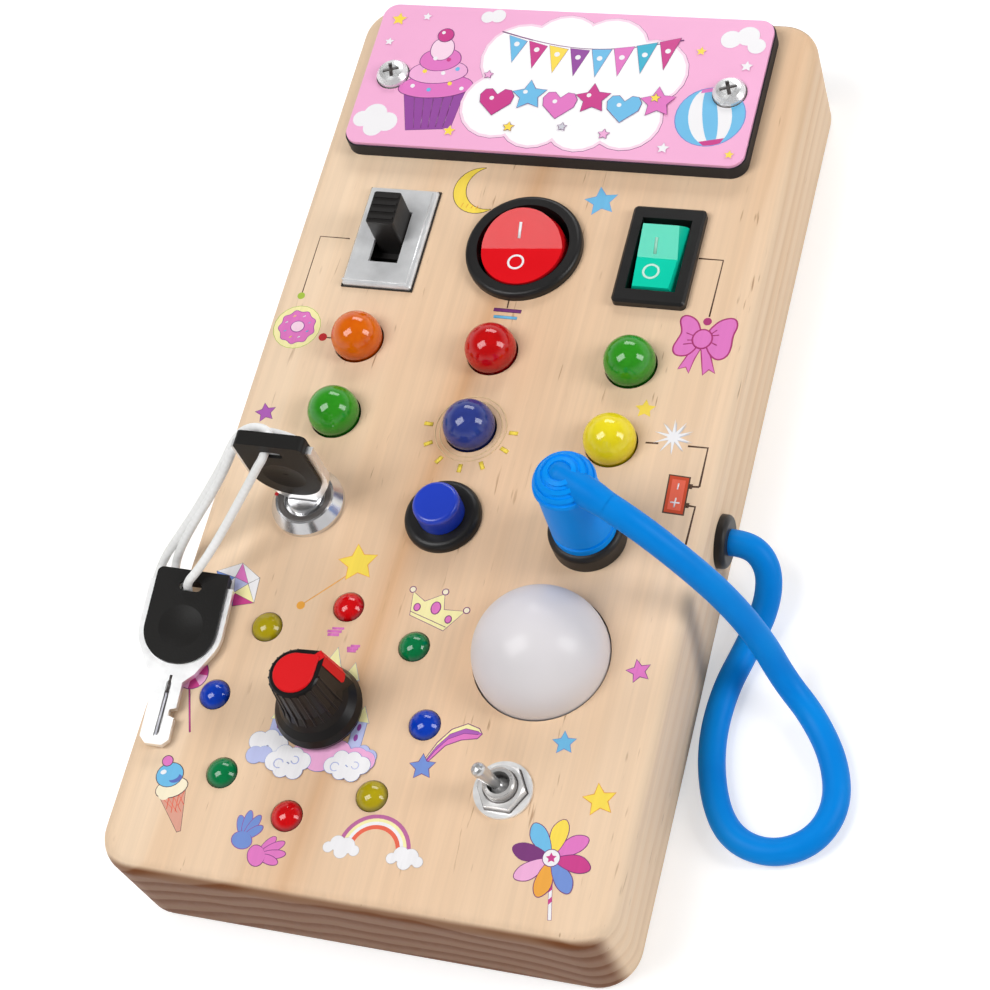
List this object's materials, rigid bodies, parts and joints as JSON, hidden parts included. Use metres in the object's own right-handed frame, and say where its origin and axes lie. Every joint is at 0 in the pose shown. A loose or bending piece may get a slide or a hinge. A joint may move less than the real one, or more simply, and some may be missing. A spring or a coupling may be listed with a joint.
{
  "type": "wooden busy board",
  "caption": "Wooden toddler busy board, a flat box with switches, lights, a cam lock with its key, a turning knob, a plug on a patch cable and a battery cover.",
  "frame": {"origin": "centre of the case's back, on the surface it lies on", "axes": "+X to the right of the face, +Y towards the battery cover, +Z out of the face"},
  "size_m": [0.1376, 0.2, 0.0519],
  "materials": {
    "pine": "satin, lightly sanded, no lacquer shine",
    "fibreboard": "matt",
    "black_plastic": "fine matt moulding",
    "chrome": "polished plating",
    "nickel": "plated steel with fine scratches",
    "zinc": "bright zinc",
    "cover_print": "smooth printed sheet",
    "lens_orange": "glossy tinted epoxy",
    "lens_red": "glossy tinted epoxy",
    "lens_green": "glossy tinted epoxy",
    "lens_blue": "glossy tinted epoxy",
    "lens_yellow": "glossy tinted epoxy",
    "diffuser_white": "satin translucent white",
    "rocker_red": "glossy tinted acrylic",
    "rocker_green": "glossy tinted acrylic",
    "button_blue": "glossy moulding",
    "plug_blue": "satin soft plastic",
    "cable_blue": "satin PVC",
    "string_white": "braided cotton",
    "board_green": "solder mask",
    "brass": "plain",
    "cell_wrap": "printed wrap",
    "knob_red": "smooth moulding"
  },
  "bodies": {
    "root": {"back_panel": "fibreboard", "back_panel_screws": "zinc", "battery_cells": "cell_wrap", "battery_contacts": "nickel", "battery_cover": "black_plastic", "battery_cover_screws": "chrome", "battery_tray": "black_plastic", "board_screws": "zinc", "board_spacers": "brass", "cable_case_end": "cable_blue", "cover_print": "cover_print", "dome_diffuser": "diffuser_white", "dome_holder": "black_plastic", "dome_led": "diffuser_white", "led_blue": "lens_blue", "led_board": "board_green", "led_green_pair": "lens_green", "led_leads": "zinc", "led_orange": "lens_orange", "led_red": "lens_red", "led_yellow": "lens_yellow", "lock_body": "chrome", "panel_nuts": "nickel", "push_button_body": "chrome", "push_button_spring": "zinc", "ring_led_board": "board_green", "ring_leds_blue": "lens_blue", "ring_leds_green": "lens_green", "ring_leds_red": "lens_red", "ring_leds_yellow": "lens_yellow", "rotary_switch_body": "black_plastic", "round_rocker_bezel": "black_plastic", "side_gland": "black_plastic", "slide_switch_housing": "black_plastic", "slide_switch_plate": "nickel", "socket_body": "black_plastic", "spare_key_blade": "nickel", "spare_key_cover": "black_plastic", "square_rocker_bezel": "black_plastic", "string_spare_end": "string_white", "switch_terminals": "brass", "toggle_body": "nickel", "toggle_nut": "nickel", "toggle_washer": "nickel", "wood_case": "pine"},
    "slide_stem": {"slide_switch_actuator": "black_plastic"},
    "round_rocker": {"round_rocker_cap": "rocker_red"},
    "square_rocker": {"square_rocker_cap": "rocker_green"},
    "button": {"push_button_cap": "button_blue"},
    "knob": {"knob_body": "black_plastic", "knob_cap": "knob_red", "rotary_shaft": "brass"},
    "toggle": {"toggle_lever": "chrome"},
    "barrel": {"lock_barrel": "chrome"},
    "key": {"key_blade": "nickel", "key_cover": "black_plastic", "string_key_end": "string_white"},
    "plug": {"plug_body": "plug_blue", "plug_pin": "brass", "cable_plug_end": "cable_blue"}
  },
  "joints": [
    {"name": "slide_switch_travel", "type": "slide", "parent": "root", "child": "slide_stem", "axis": [0, -1, 0], "range_m": [0, 0.0044]},
    {"name": "round_rocker_tilt", "type": "hinge", "parent": "root", "child": "round_rocker", "pos_m": [0.0003, 0.0397, 0.022], "axis": [-0.9962, -0.0872, 0], "range_deg": [0, 24]},
    {"name": "square_rocker_tilt", "type": "hinge", "parent": "root", "child": "square_rocker", "pos_m": [0.0286, 0.0399, 0.022], "axis": [-1, 0, 0], "range_deg": [0, 24]},
    {"name": "push_button_press", "type": "slide", "parent": "root", "child": "button", "axis": [0, 0, -1], "range_m": [0, 0.003], "stiffness_N_per_m": 300, "springref_m": -0.002, "deforming": ["push_button_spring"]},
    {"name": "knob_turn", "type": "hinge", "parent": "root", "child": "knob", "pos_m": [-0.01385, -0.0638, 0.0258], "axis": [0, 0, 1], "range_deg": [-180, 135]},
    {"name": "toggle_throw", "type": "hinge", "parent": "root", "child": "toggle", "pos_m": [0.0246, -0.074, 0.026], "axis": [0, 1, 0], "range_deg": [0, 30]},
    {"name": "lock_turn", "type": "hinge", "parent": "root", "child": "barrel", "pos_m": [-0.0288, -0.022, 0.0283], "axis": [0, 0, -1], "range_deg": [0, 90]},
    {"name": "key_pull", "type": "slide", "parent": "barrel", "child": "key", "axis": [0, 0, 1], "range_m": [0, 0.014]},
    {"name": "plug_pull", "type": "slide", "parent": "root", "child": "plug", "axis": [0, 0, 1], "range_m": [0, 0.015]}
  ]
}
